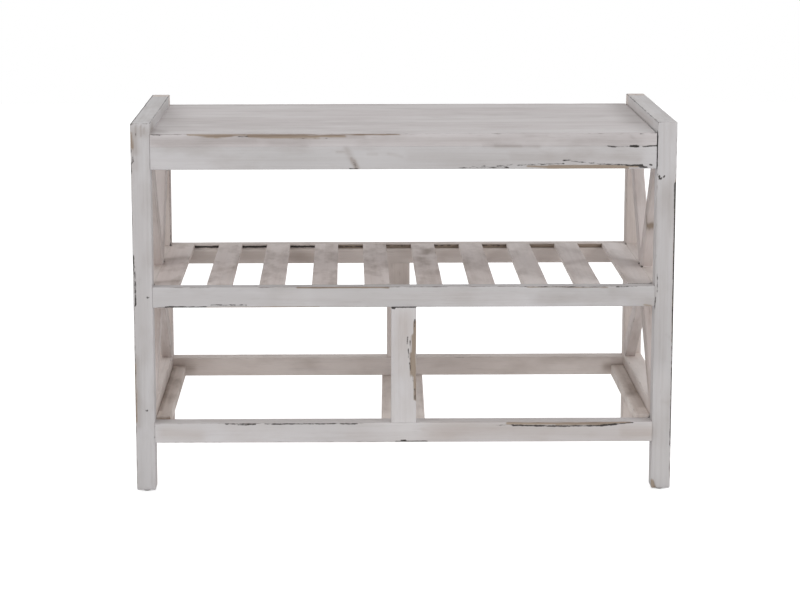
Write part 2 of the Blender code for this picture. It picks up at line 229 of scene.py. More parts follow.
def whitewash(name, paint, shade, stain_and_shade, thinness, streaks):
    """White paint over dark stain; thinness lets the stain through in clouds, streaks along the grain, and
    smears let it through too, some of them as painted shade.
    """
    material, tree, shader = new_material(name)
    edge, bare, dark, smear_and_shade, coat, rub, fill = (
        add(tree, "Attribute", out="Fac", attribute_name=key) for key in ("edge",) + KINDS)
    grain = add(tree, "Attribute", out="Vector", attribute_name="grain")
    field = {}
    for key, (along, across, detail, rough) in PATTERNS.items():
        steps = (1 / (along * MM), 1 / (across * MM), 1 / (across * MM))
        spread = add(tree, "VectorMath", {0: grain, 1: steps}, operation="MULTIPLY")
        field[key] = add(tree, "TexNoise", {"Vector": spread, "Scale": 1.0, "Detail": detail,
                                            "Roughness": rough})

    # Paint that is thicker here and thinner there, with stain, grain and pores where it is thin
    amount = add(tree, "MapRange", {"Value": field["drift"], "From Min": 0.36, "From Max": 0.66})
    colour = add(tree, "Mix", {0: amount, 6: linear(paint), 7: linear(shade)}, out=2, data_type="RGBA")
    amount = add(tree, "MapRange", {"Value": field["cloud"], "From Min": 0.46, "From Max": 0.76,
                                    "To Max": thinness})
    # Smears let the stain colour through; where they stand for shadow and shade, this is painted shade
    amount = add(tree, "Math", {0: amount, 1: smear_and_shade}, operation="ADD", use_clamp=True)
    colour = add(tree, "Mix", {0: amount, 6: colour, 7: linear(stain_and_shade)}, out=2, data_type="RGBA")
    # Thicker, lighter paint; where it lightens the right-hand slats it is painted light
    colour = add(tree, "Mix", {0: coat, 6: colour, 7: linear(THICK_PAINT_AND_PAINTED_LIGHT)}, out=2, data_type="RGBA")
    for key, (start, full, tone) in MARKS.items():
        amount = add(tree, "MapRange", {"Value": field[key], "From Min": start, "From Max": full,
                                        "To Max": streaks})
        colour = add(tree, "Mix", {0: amount, 6: colour, 7: linear(tone)}, out=2, data_type="RGBA")

    # Bare wood, in patches drawn out along the grain
    ragged = add(tree, "MapRange", {"Value": field["peel"], "To Min": -0.5, "To Max": 0.5})
    spot = add(tree, "Math", {0: bare, 1: ragged}, operation="ADD")
    bare_spot = add(tree, "MapRange", {"Value": spot, "From Min": 0.30, "From Max": 0.72})
    amount = add(tree, "MapRange", {"Value": field["streak"], "From Min": 0.35, "From Max": 0.68})
    wood = add(tree, "Mix", {0: amount, 6: linear(PALE_WOOD), 7: linear(DARK_WOOD)},
               out=2, data_type="RGBA")
    colour = add(tree, "Mix", {0: bare_spot, 6: colour, 7: wood}, out=2, data_type="RGBA")

    # A thin broken line of stain along rubbed edges, none where paint has filled a joint
    reach = add(tree, "MapRange", {"Value": field["rubbing"], "From Min": 0.30, "From Max": 0.70,
                                   "To Min": -1.9 * MM, "To Max": 0.6 * MM})
    more = add(tree, "Math", {0: rub, 1: 1.4 * MM}, operation="MULTIPLY")
    less = add(tree, "Math", {0: fill, 1: 4.0 * MM}, operation="MULTIPLY")
    reach = add(tree, "Math", {0: reach, 1: more}, operation="ADD")
    reach = add(tree, "Math", {0: reach, 1: less}, operation="SUBTRACT")
    past = add(tree, "Math", {0: edge, 1: reach}, operation="SUBTRACT")
    edge_line = add(tree, "MapRange", {"Value": past, "From Min": 0.45 * MM, "From Max": -0.15 * MM,
                                       "To Max": 0.6})
    colour = add(tree, "Mix", {0: edge_line, 6: colour, 7: linear(EDGE_STAIN)}, out=2, data_type="RGBA")

    # Spots and cracks where only the dark stain is left, and painted shade in open gaps and recesses
    ragged = add(tree, "MapRange", {"Value": field["fleck"], "To Min": -0.6, "To Max": 0.6})
    spot = add(tree, "Math", {0: dark, 1: ragged}, operation="ADD")
    dark_spot = add(tree, "MapRange", {"Value": spot, "From Min": 0.42, "From Max": 0.70})
    colour = add(tree, "Mix", {0: dark_spot, 6: colour, 7: linear(DEEP_STAIN_AND_SHADE)}, out=2, data_type="RGBA")
    tree.links.new(colour, shader.inputs["Base Color"])

    # Dry matt paint; brush marks stand up about a tenth of a millimetre, worn places lie lower
    gloss = add(tree, "MapRange", {"Value": field["streak"], "From Min": 0.3, "From Max": 0.7,
                                   "To Min": 0.50, "To Max": 0.66})
    tree.links.new(gloss, shader.inputs["Roughness"])
    shader.inputs["IOR"].default_value = 1.46
    worn = add(tree, "Math", {0: bare_spot, 1: dark_spot}, operation="MAXIMUM")
    relief = add(tree, "Math", {0: field["brush"], 1: field["streak"]}, operation="ADD")
    relief = add(tree, "Math", {0: relief, 1: worn}, operation="SUBTRACT")
    bump = add(tree, "Bump", {"Height": relief, "Strength": 0.3, "Distance": 0.12 * MM})
    tree.links.new(bump, shader.inputs["Normal"])
    return material


print("patterns:", ", ".join(PATTERNS))

# %% Strengths of the finish
# Outside boards have the thickest coat and are coolest; inside, the wood's warmth comes through.
# Slats, braces, runners and inside boards are painted lighter than the frame. This is painted light
# that makes up for the shade they lie in, and their warmth is partly painted bounce light.
FINISH = {
    "whitewashed_frame": whitewash(
        "whitewash_on_frame", "#C9C6C7", "#BCB9B9", "#A39B97", 0.44, 0.17),
    "whitewashed_seat": whitewash(
        "whitewash_on_seat", "#CDC8C8", "#C3BCBC", "#A29A98", 0.42, 0.24),
    "whitewashed_slats": whitewash(
        "thin_whitewash_on_slats_with_painted_light", "#E4DAD6", "#D6CAC5", "#A19187", 0.85, 0.12),
    "whitewashed_braces": whitewash(
        "thin_whitewash_on_braces_with_painted_light", "#E0D7D4", "#D2C8C4", "#A4958D", 0.60, 0.22),
    "whitewashed_runners": whitewash(
        "thin_whitewash_on_runners_with_painted_light", "#ECE3DD", "#DED2CA", "#9A897D", 0.60, 0.16),
}
# Painted light: lighter than the frame, for the shade inside the bench
inside = whitewash("thin_whitewash_inside_with_painted_light", "#E0D7D2", "#D3C8C2", "#A6978D", 0.45, 0.20)
# Painted light: lighter still, for the light that the floor bounces onto the low front rail and front post
floor_bounce_whitewash = whitewash("whitewash_below_with_painted_floor_bounce", "#D3D0D1", "#CAC6C6", "#B3A7A0", 0.30, 0.16)
SPECIAL = {
    "leg_rear": inside, "shelf_rail_rear": inside, "low_rail_rear": inside, "centre_post_rear": inside,
    "mid_side_rail": inside, "low_side_rail": inside,
    "low_rail_front": floor_bounce_whitewash, "centre_post_front": floor_bounce_whitewash,
}
print("finishes:", len({*FINISH.values(), *SPECIAL.values()}))

# %% [markdown]
# ## How a board is made
#
# Every board starts as a cube at its size, lying along X, where measuring is easy.  Its long
# edges are rounded with a bevel, and its faces are divided into cells of two or three
# millimetres, half that where fine marks go, so that there are points close to every edge that
# can be moved and painted.  A board that occurs several times is shaped once and copied.
#
# Each copy is then sanded by hand, so to speak: points near its edges go in by up to half a
# millimetre, unevenly along the board.  Only then is it turned and moved into place.

# %% Helpers for shaping boards
# Radii of a worn edge and of a sharp one
EDGE = 0.9 * MM
TIGHT = 0.15 * MM
# Cells along and across a board, first on most boards and then where fine marks go
CELL = (3.0 * MM, 2.2 * MM)
FINE = (1.5 * MM, 1.1 * MM)
# The gap that a board keeps to its neighbours, and how near counts as the same place
CLOSE = 0.05 * MM
SAME = 0.01 * MM
STRAIGHT = 0.999
MOST_CUTS = 100
boards = {}


def pick(piece, choose, kind="edges"):
    """Selects those edges or faces of the piece, in edit mode, for which choose says yes."""
    bpy.ops.mesh.select_mode(type="EDGE" if kind == "edges" else "FACE")
    bpy.ops.mesh.select_all(action="DESELECT")
    bm = bmesh.from_edit_mesh(piece.data)
    chosen = [item for item in getattr(bm, kind) if choose(item)]
    for item in chosen:
        item.select_set(True)
    bmesh.update_edit_mesh(piece.data)
    return len(chosen)


def lies_along(edge, axis):
    """Whether an edge lies along an axis: 0 is X, 1 is Y and 2 is Z."""
    return abs((edge.verts[1].co - edge.verts[0].co).normalized()[axis]) > STRAIGHT


def at_corner(edge, corner):
    """Whether both ends of an edge lie at one corner, given by y and z, of a board's section."""
    return all(abs(v.co.y - corner[0]) < SAME and abs(v.co.z - corner[1]) < SAME for v in edge.verts)


def start_board(name, size):
    """A cube of the board's size, lying along X about the origin, left in edit mode."""
    bpy.ops.object.select_all(action="DESELECT")
    bpy.ops.mesh.primitive_cube_add(size=1.0)
    piece = bpy.context.object
    piece.name = piece.data.name = name
    piece.scale = size
    bpy.ops.object.transform_apply(location=False, rotation=False, scale=True)
    bpy.ops.object.mode_set(mode="EDIT")
    return piece


def round_edges(piece, choose, radius):
    """Bevels the chosen edges to a small round."""
    if pick(piece, choose):
        bpy.ops.mesh.bevel(offset=radius, segments=2, affect="EDGES")


def divide(piece, size, cell=CELL):
    """Divides the faces into cells.

    One call makes a hundred cuts at most, so a long board is first divided into a few lengths.
    """
    for axis, step in enumerate((cell[0], cell[1], cell[1])):
        cells = round(size[axis] / step)
        lengths = math.ceil(cells / MOST_CUTS)
        rounds = ((lengths - 1, size[axis]), (round(cells / lengths) - 1, size[axis] / lengths))
        for cuts, longest in rounds:
            if cuts > 0 and pick(piece, lambda e: lies_along(e, axis) and e.calc_length() > 0.5 * longest):
                bpy.ops.mesh.subdivide(number_cuts=cuts)
    bpy.ops.object.mode_set(mode="OBJECT")


def copy_board(source, name):
    """A copy of a shaped board, with its own mesh."""
    bpy.ops.object.select_all(action="DESELECT")
    source.select_set(True)
    bpy.context.view_layer.objects.active = source
    bpy.ops.object.duplicate(linked=False)
    piece = bpy.context.object
    piece.name = piece.data.name = name
    return piece


print("cells of", [round(c * 1000, 1) for c in CELL], "mm")

# %% Helpers for sanding and placing boards
SANDED = 1.4 * MM
FAR = 20.0 * MM
# Long and short dips in a worn edge: how far apart they are, and how deep
LONG_DIP, LONG_DEPTH = 45.0 * MM, 0.5 * MM
SHORT_DIP, SHORT_DEPTH = 10.0 * MM, 0.3 * MM
SMOOTH_BELOW = math.radians(40)


def edge_distance(points, size, corners, ends):
    """How far each point is from the nearest worn edge, up to a limit."""
    half = np.array(size) / 2
    edge = np.full(len(points), FAR)
    for y, z in corners:
        edge = np.minimum(edge, np.hypot(points[:, 1] - y, points[:, 2] - z))
    if ends:
        inset = half - np.abs(points)
        edge = np.minimum(edge, np.maximum(inset[:, 0], np.minimum(inset[:, 1], inset[:, 2])))
    return edge


def sand(piece, size, corners, ends=False, origin=None):
    """Writes grain position and edge distance to the mesh, and wears the edges unevenly."""
    mesh = piece.data
    # Every board has a place of its own in the noise, so that no two are alike
    seed = 0.37 * (len(boards) + 1)
    origin = Vector((seed, 1.7 * seed, 2.3 * seed)) if origin is None else origin
    points = np.empty(len(mesh.vertices) * 3)
    mesh.vertices.foreach_get("co", points)
    points = points.reshape(-1, 3)
    edge = edge_distance(points, size, corners, ends)
    grain = points + np.array(origin)
    for k in np.nonzero(edge < SANDED)[0]:
        x, y, z = points[k]
        slow = noise.noise(Vector((x / LONG_DIP + seed, 3.0 * np.sign(y), 3.0 * np.sign(z) + seed)))
        quick = noise.noise(Vector((x / SHORT_DIP, 5.0 * np.sign(y) + seed, 5.0 * np.sign(z))))
        depth = (max(0.0, slow) * LONG_DEPTH + max(0.0, quick) * SHORT_DEPTH) * (1.0 - edge[k] / SANDED)
        # The edge goes in on its diagonal, so each of its two faces by 0.7 of the depth
        points[k, 1:] -= 0.7 * depth * np.sign(points[k, 1:])
    mesh.vertices.foreach_set("co", points.ravel())
    layer = mesh.attributes.new("grain", "FLOAT_VECTOR", "POINT")
    layer.data.foreach_set("vector", grain.ravel())
    layer = mesh.attributes.new("edge", "FLOAT", "POINT")
    layer.data.foreach_set("value", edge)


def place_board(piece, node, place):
    """Moves the board into place, gives it its finish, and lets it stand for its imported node."""
    bpy.ops.object.select_all(action="DESELECT")
    piece.select_set(True)
    bpy.context.view_layer.objects.active = piece
    piece.matrix_world = place
    bpy.ops.object.transform_apply(location=True, rotation=True, scale=True)
    bpy.ops.object.mode_set(mode="EDIT")
    bpy.ops.mesh.select_all(action="SELECT")
    bpy.ops.mesh.normals_make_consistent(inside=False)
    bpy.ops.object.mode_set(mode="OBJECT")
    bpy.ops.object.shade_smooth_by_angle(angle=SMOOTH_BELOW)
    slot = next(part["material_slot"] for part in frame["record"]["subparts"] if part["node"] == node)
    piece.data.materials.clear()
    coat = next((SPECIAL[start] for start in SPECIAL if node.startswith(start)), FINISH[slot])
    piece.data.materials.append(coat)
    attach(piece, "root")
    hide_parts(node)
    boards[node] = piece


TURN = {
    "X": Matrix.Identity(4),
    "Y": Matrix.Rotation(math.pi / 2, 4, "Z"),
    "Z": Matrix.Rotation(-math.pi / 2, 4, "Y"),
}
# Which way a board's length, width and thickness lie once it is turned
LIES = {"X": "xyz", "Y": "yxz", "Z": "zyx"}


def lay(low, high, along):
    """The size of a board before it is turned, and the matrix that puts it between two corners."""
    span, middle = Vector(high) - Vector(low), (Vector(high) + Vector(low)) / 2
    size = tuple(getattr(span, axis) for axis in LIES[along])
    return size, Matrix.Translation(middle) @ TURN[along]


def make_boards(boxes, along, ends=False, worn=lambda y, z: True, cell=CELL, ease=EDGE, foot=0.0,
                one_coat=False):
    """One straight board for each node in boxes.

    The corners that worn picks are rounded by ease, and a leg's lower end by foot.  With one_coat,
    the paint's pattern runs on from one board to the next.
    """
    size = lay(*next(iter(boxes.values())), along)[0]
    half = [s / 2 for s in size]
    corners = [(y, z) for y in (-half[1], half[1]) for z in (-half[2], half[2])]
    first = start_board("painted_" + next(iter(boxes)), size)
    rounded = [c for c in corners if worn(*c)]
    sharp = [c for c in corners if not worn(*c)]
    if foot:
        round_edges(first, lambda e: all(v.co.x < 0 for v in e.verts), foot)
    round_edges(first, lambda e: any(at_corner(e, c) for c in rounded) or (
        ends and all(v.co.x > half[0] - SAME for v in e.verts)), ease)
    round_edges(first, lambda e: any(at_corner(e, c) for c in sharp), TIGHT)
    divide(first, size, cell)
    pieces = [first] + [copy_board(first, "painted_" + node) for node in list(boxes)[1:]]
    for piece, (node, box) in zip(pieces, boxes.items()):
        place = lay(*box, along)[1]
        sand(piece, size, rounded, ends, place.translation if one_coat else None)
        place_board(piece, node, place)


def clipped(node, **limits):
    """A node's box, cut back to where the board can be seen, for example x=(-0.3, 0.3)."""
    low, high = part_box(node)
    for axis, (least, most) in limits.items():
        setattr(low, axis, least)
        setattr(high, axis, most)
    return low, high


print("edges are sanded within", SANDED * 1000, "mm")

# %% [markdown]
# ## Side frames
#
# Each side is a small gate: two square legs with a top, a middle and a low rail between them.
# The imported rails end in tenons, which nobody sees, so the painted boards stop at the legs.
# The planes of the frame are read from a leg, and nothing here is measured twice.

# %% Legs and side rails
SIDES = {"left": -1, "right": 1}
ENDS = {"front": -1, "rear": 1}
leg_low, leg_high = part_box("leg_front_right")
INNER, OUTER, FRONT = leg_low.x, leg_high.x, leg_low.y
REAR = -FRONT
LEG = OUTER - INNER
FOOT = 2.2 * MM
FILLED = 0.25 * MM
BETWEEN_LEGS = (FRONT + LEG + CLOSE, REAR - LEG - CLOSE)

leg_boxes = {f"leg_{e}_{s}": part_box(f"leg_{e}_{s}") for e in ENDS for s in SIDES}
make_boards(leg_boxes, "Z", ends=True, foot=FOOT)
for height in ("top", "mid", "low"):
    rails = {f"{height}_side_rail_{s}": clipped(f"{height}_side_rail_{s}", y=BETWEEN_LEGS) for s in SIDES}
    if height == "mid":
        # Paint fills the joint beside the outermost slats
        rails["mid_side_rail_left"][1].x += FILLED
        rails["mid_side_rail_right"][0].x -= FILLED
    make_boards(rails, "Y", worn=lambda y, z: height != "mid" or z < 0)
print("side frames:", len(boards), "boards")

# %% [markdown]
# ## X braces
#
# In each side four braces make an X around the middle rail.  Above the rail two of them run from
# the upper corners to one point on it, and below it two more come up from the lower corners.  The
# point is not quite at the middle, so every brace has its own slope.  Where a pair meets, each is
# cut to half its thickness, so that both lie in one plane.
#
# A joiner saws them from one length of strip, and so does this step.  The strip is shaped once.
# Each copy is cut off by the planes of the legs and rails that it meets, then notched for its
# partner.  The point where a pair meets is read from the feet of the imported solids.

# %% The strip, and where the braces lie
BRACE_WIDTH = 25.0 * MM
STRIP_LENGTH = 450.0 * MM
brace_low, brace_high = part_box("brace_upper_rear_right")
STRIP = (STRIP_LENGTH, BRACE_WIDTH, brace_high.x - brace_low.x)
SHELF_LOW, SHELF_HIGH = (corner.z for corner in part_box("mid_side_rail_right"))
BRACE_SPANS = {
    "upper": (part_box("top_side_rail_right")[0].z, SHELF_HIGH),
    "lower": (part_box("low_side_rail_right")[1].z, SHELF_LOW),
}
REACH = REAR - LEG


def lay_brace(level, end, side):
    """The matrix that puts the strip on the line from a corner to the point where the pair meets."""
    head, foot = BRACE_SPANS[level]
    feet = [v.co.y for v in frame["nodes"][f"brace_{level}_{end}_{side}"].data.vertices
            if abs(v.co.z - foot) < MM]
    thick_middle = SIDES[side] * (brace_low.x + brace_high.x) / 2
    meet = Vector((thick_middle, (min(feet) + max(feet)) / 2, foot))
    corner = Vector((thick_middle, ENDS[end] * REACH, head))
    along = (corner - meet).normalized()
    across = along.cross(Vector((1.0, 0.0, 0.0)))
    turn = Matrix((along, across, along.cross(across))).transposed().to_4x4()
    return Matrix.Translation((corner + meet) / 2) @ turn


strip = start_board("brace_strip", STRIP)
round_edges(strip, lambda e: lies_along(e, 0), EDGE)
divide(strip, STRIP)
print("brace strip:", round(BRACE_WIDTH * 1000), "by", round(STRIP[2] * 1000, 1), "mm")

# %% Saw and notch the eight braces
def saw_off(place, level):
    """Cuts the active strip, still in its own frame, at both legs and at the two rails of its span."""
    low, high = sorted(BRACE_SPANS[level])
    back = place.inverted()
    bpy.ops.object.mode_set(mode="EDIT")
    for point, normal in (((0, REACH - CLOSE, 0), (0, 1, 0)), ((0, CLOSE - REACH, 0), (0, -1, 0)),
                          ((0, 0, high - CLOSE), (0, 0, 1)), ((0, 0, low + CLOSE), (0, 0, -1))):
        bpy.ops.mesh.select_all(action="SELECT")
        bpy.ops.mesh.bisect(plane_co=back @ Vector(point), plane_no=back.to_3x3() @ Vector(normal),
                            use_fill=True, clear_outer=True)
    bpy.ops.object.mode_set(mode="OBJECT")


def notch(piece, place, partner_place, sideways):
    """Takes away half of the thickness where the partner passes, on the side that sideways points to."""
    bpy.ops.object.select_all(action="DESELECT")
    bpy.ops.mesh.primitive_cube_add(size=1.0)
    cutter = bpy.context.object
    size = Matrix.Diagonal((STRIP[0], BRACE_WIDTH + 2 * CLOSE, STRIP[2] - CLOSE, 1.0))
    cutter.matrix_world = place.inverted() @ Matrix.Translation((sideways, 0.0, 0.0)) @ partner_place @ size
    bpy.ops.object.transform_apply(location=True, rotation=True, scale=True)
    bpy.context.view_layer.objects.active = piece
    lap = piece.modifiers.new("lap", "BOOLEAN")
    lap.object, lap.operation, lap.solver = cutter, "DIFFERENCE", "EXACT"
    bpy.ops.object.modifier_apply(modifier=lap.name)
    bpy.data.objects.remove(cutter)


STRIP_CORNERS = [(y * BRACE_WIDTH / 2, z * STRIP[2] / 2) for y in (-1, 1) for z in (-1, 1)]
for level in BRACE_SPANS:
    for side, outward in SIDES.items():
        for end, other in (("front", "rear"), ("rear", "front")):
            node = f"brace_{level}_{end}_{side}"
            piece = copy_board(strip, "painted_" + node)
            place = lay_brace(level, end, side)
            saw_off(place, level)
            lost_half = outward if end == "front" else -outward
            notch(piece, place, lay_brace(level, other, side), lost_half * STRIP[2] / 2)
            sand(piece, STRIP, STRIP_CORNERS)
            place_board(piece, node, place)
bpy.data.objects.remove(strip)
print("with braces:", len(boards), "boards")

# %% [markdown]
# ## Seat and aprons
#
# The seat is one wide panel, flush with the legs at the front.  Paint has filled the joint between
# the seat and the apron under it, so the edges there stay sharp and close together.  At the
# right end the real seat is a hair short, and a dark gap shows beside the leg; its darkness is
# partly painted shade.

# %% Seat and aprons
SEAT_SHORT = 1.1 * MM
SEAT_SPAN = (-INNER + CLOSE, INNER - SEAT_SHORT)
SEAT_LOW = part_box("seat_board")[0].z
seat_box = clipped("seat_board", x=SEAT_SPAN)
make_boards({"seat_board": seat_box}, "X", worn=lambda y, z: z > 0, one_coat=True)
APRON_SPAN = (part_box("apron_front")[0].z, SEAT_LOW - CLOSE)
apron_boxes = {f"apron_{e}": clipped(f"apron_{e}", x=SEAT_SPAN, z=APRON_SPAN) for e in ENDS}
make_boards(apron_boxes, "X", worn=lambda y, z: z < 0, cell=FINE, one_coat=True)
print("seat panel:", [round(v * 1000, 1) for v in boards["seat_board"].dimensions], "mm")

# %% [markdown]
# ## Slatted shelf
#
# Two rails carry the slats.  Each rail has a step along its inner top edge, a rabbet, and the
# slats' ends lie in it, level with the rail.  To make the step, the rail starts at the height of
# the step, and the outer part of its top is extruded up.  The front rail is a copy of the rear
# one, turned half round.

# %% Shelf rails with their rabbets
LONG_SPAN = (-INNER + CLOSE, INNER - CLOSE)
SLAT_PLAY = 0.3 * MM
SLAT_EDGE = 0.25 * MM
WALL_CUTS = 4
slat_low, slat_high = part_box("shelf_slat_01")
RABBET_DEPTH = slat_high.z - slat_low.z + SLAT_PLAY
WALL = slat_high.y + SLAT_PLAY
rail_size, rail_place = lay(*clipped("shelf_rail_rear", x=LONG_SPAN), "X")
half_deep, half_high = rail_size[1] / 2, rail_size[2] / 2
wall = WALL - (REAR - half_deep)
step = half_high - RABBET_DEPTH
PROFILE = [
    (half_deep, half_high), (wall, half_high), (-half_deep, step),
    (-half_deep, -half_high), (half_deep, -half_high),
]

rail = start_board("painted_shelf_rail_rear", (rail_size[0], rail_size[1], rail_size[2] - RABBET_DEPTH))
bpy.ops.mesh.select_all(action="SELECT")
bpy.ops.transform.translate(value=(0.0, 0.0, -RABBET_DEPTH / 2))
bpy.ops.mesh.bisect(plane_co=(0.0, wall, 0.0), plane_no=(0.0, 1.0, 0.0))
pick(rail, lambda f: f.normal.z > STRAIGHT and f.calc_center_median().y > wall, "faces")
bpy.ops.mesh.extrude_region_move(TRANSFORM_OT_translate={"value": (0.0, 0.0, RABBET_DEPTH)})
pick(rail, lambda e: lies_along(e, 2) and abs(e.calc_length() - RABBET_DEPTH) < CLOSE)
bpy.ops.mesh.subdivide(number_cuts=WALL_CUTS)
round_edges(rail, lambda e: lies_along(e, 0) and any(at_corner(e, c) for c in PROFILE), EDGE)
divide(rail, rail_size, FINE)
front_rail = copy_board(rail, "painted_shelf_rail_front")
sand(rail, rail_size, PROFILE)
place_board(rail, "shelf_rail_rear", rail_place)
sand(front_rail, rail_size, PROFILE)
place_board(front_rail, "shelf_rail_front", Matrix.Rotation(math.pi, 4, "Z") @ rail_place)
print("rabbet:", round(RABBET_DEPTH * 1000, 1), "mm deep")

# %% Slats
slats = sorted(n for n in frame["nodes"] if n.startswith("shelf_slat"))
make_boards({node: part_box(node) for node in slats}, "Y", ease=SLAT_EDGE)
print("slats:", len(slats))

# %% [markdown]
# ## Low frame, posts and runners
#
# Near the floor a front rail and a higher rear rail close the frame.  Boxes slide on three
# runners: one on each side rail and a wide one in the middle, which goes under the rear rail and
# is a few millimetres out of square.  Two posts carry the shelf rails at their middles.

# %% Low rails and posts
make_boards({f"low_rail_{e}": clipped(f"low_rail_{e}", x=LONG_SPAN) for e in ENDS}, "X", cell=FINE)
for end in ENDS:
    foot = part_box(f"low_rail_{end}")[1].z
    post_box = clipped(f"centre_post_{end}", z=(foot + CLOSE, SHELF_LOW - CLOSE))
    make_boards({f"centre_post_{end}": post_box}, "Z", cell=FINE)
print("low rails and posts:", len(boards), "boards so far")

# %% Runners
make_boards({f"side_runner_{s}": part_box(f"side_runner_{s}") for s in SIDES}, "Y")

low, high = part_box("centre_runner")
low.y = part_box("low_rail_front")[1].y + CLOSE
solid = np.array([v.co for v in frame["nodes"]["centre_runner"].data.vertices])
front_x = solid[np.abs(solid[:, 1] - low.y) < MM][:, 0]
rear_x = solid[solid[:, 1] > high.y - MM][:, 0]
skew = (rear_x.max() + rear_x.min() - front_x.max() - front_x.min()) / 2
make_boards({"centre_runner": ((front_x.min(), low.y, low.z), (front_x.max(), high.y, high.z))}, "Y")
for vertex in boards["centre_runner"].data.vertices:
    vertex.co.x += skew * (vertex.co.y - low.y) / (high.y - low.y)
print("centre runner is off by", round(skew * 1000, 1), "mm at the rear")

# %% [markdown]
# ## Wear, and painted shade, where the photograph shows them
#
# Edges that hands and boxes rub have lost more paint than noise alone would take.  Each mark
# is a soft stroke between two points, in millimetres, with a radius and a strength.  "bare" goes
# through to the wood, and "dark" to the stain; in open gaps and recesses the dark marks are also
# painted shade.  Smears are thin, stained spots in the paint, and some of them are painted shadow
# and shade.  "coat" is lighter paint that went on thicker, and where it lightens the right-hand
# slats it is painted light.  "rub" makes the dark line along an edge wider, and "fill" is a joint
# that paint has closed, so that it has no line.  A stroke marks every board that it comes near, so
# that wear runs across joints, and bare and dark places are sunk by 0.3 mm.

# %% Strokes on the front
FACE = FRONT / MM
SEAT_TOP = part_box("seat_board")[1].z / MM
CAP = OUTER / MM
